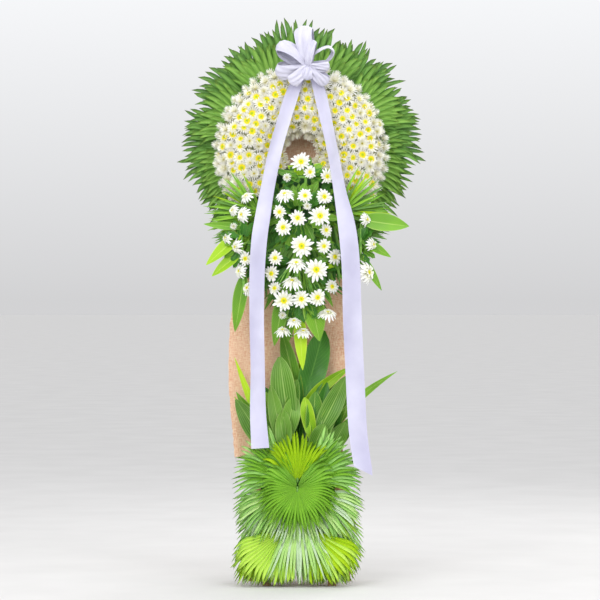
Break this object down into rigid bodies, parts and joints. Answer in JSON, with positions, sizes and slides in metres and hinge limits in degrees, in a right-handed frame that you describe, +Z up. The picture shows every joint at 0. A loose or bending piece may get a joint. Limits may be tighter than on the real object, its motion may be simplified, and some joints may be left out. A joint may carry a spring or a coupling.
{
  "type": "funeral flower stand",
  "caption": "Standing funeral arrangement: a ring of white chrysanthemums framed by fan palms on a wooden easel, with a bow, long ribbons, burlap and a skirt of palms.",
  "frame": {"origin": "on the floor, at the middle of the stand's width and depth", "axes": "+Z up, +X to the stand's right as it is seen from the front, -Y out of its front"},
  "size_m": [0.842, 0.656, 1.8226],
  "materials": {
    "timber": "plain sawn timber",
    "backing_board": "bare plywood",
    "foam": "matte dry green foam",
    "burlap": "coarse woven jute",
    "satin": "white satin with a lavender cast",
    "mums": "white petals with yellow centres",
    "back_palm": "dark green leaf, satin sheen",
    "ring_palm": "mid green leaf, satin sheen",
    "skirt_palm": "light green leaf, satin sheen",
    "broad_leaf": "green leaf, glossy",
    "spray": "white daisies on green leaves"
  },
  "bodies": {
    "root": {"back_rail": "timber", "backing_board": "backing_board", "base_foam": "foam", "bow": "satin", "burlap": "burlap", "cloth_rail_low": "timber", "cloth_rail_middle": "timber", "foot_rail": "timber", "front_leg_left": "timber", "front_leg_right": "timber", "mums_1": "mums", "mums_2": "mums", "mums_3": "mums", "mums_4": "mums", "mums_5": "mums", "mums_6": "mums", "palm_back_1": "back_palm", "palm_back_2": "back_palm", "palm_back_3": "back_palm", "palm_back_4": "back_palm", "palm_back_5": "back_palm", "palm_back_6": "back_palm", "palm_back_7": "back_palm", "palm_ring_1": "ring_palm", "palm_ring_2": "ring_palm", "palm_ring_3": "ring_palm", "palm_ring_4": "ring_palm", "palm_ring_5": "ring_palm", "palm_ring_6": "ring_palm", "rear_leg": "timber", "ribbon_left": "satin", "ribbon_right": "satin", "ring_foam": "foam", "ring_rail": "timber", "shelf": "timber", "short_post_left": "timber", "short_post_right": "timber", "side_palm_left": "ring_palm", "side_palm_right": "ring_palm", "skirt_disc": "skirt_palm", "skirt_left": "skirt_palm", "skirt_low_centre": "skirt_palm", "skirt_low_left": "skirt_palm", "skirt_low_right": "skirt_palm", "skirt_right": "skirt_palm", "skirt_top": "skirt_palm", "skirt_upper_left": "skirt_palm", "skirt_upper_right": "skirt_palm", "spray_foam": "foam", "spray_left": "spray", "spray_middle": "spray", "spray_right": "spray", "spray_tail": "spray", "spray_top": "spray", "stalk_centre": "broad_leaf", "stalk_left": "broad_leaf", "stalk_middle_left": "broad_leaf", "stalk_middle_right": "broad_leaf", "stalk_right": "broad_leaf", "top_rail": "timber"}
  },
  "joints": []
}
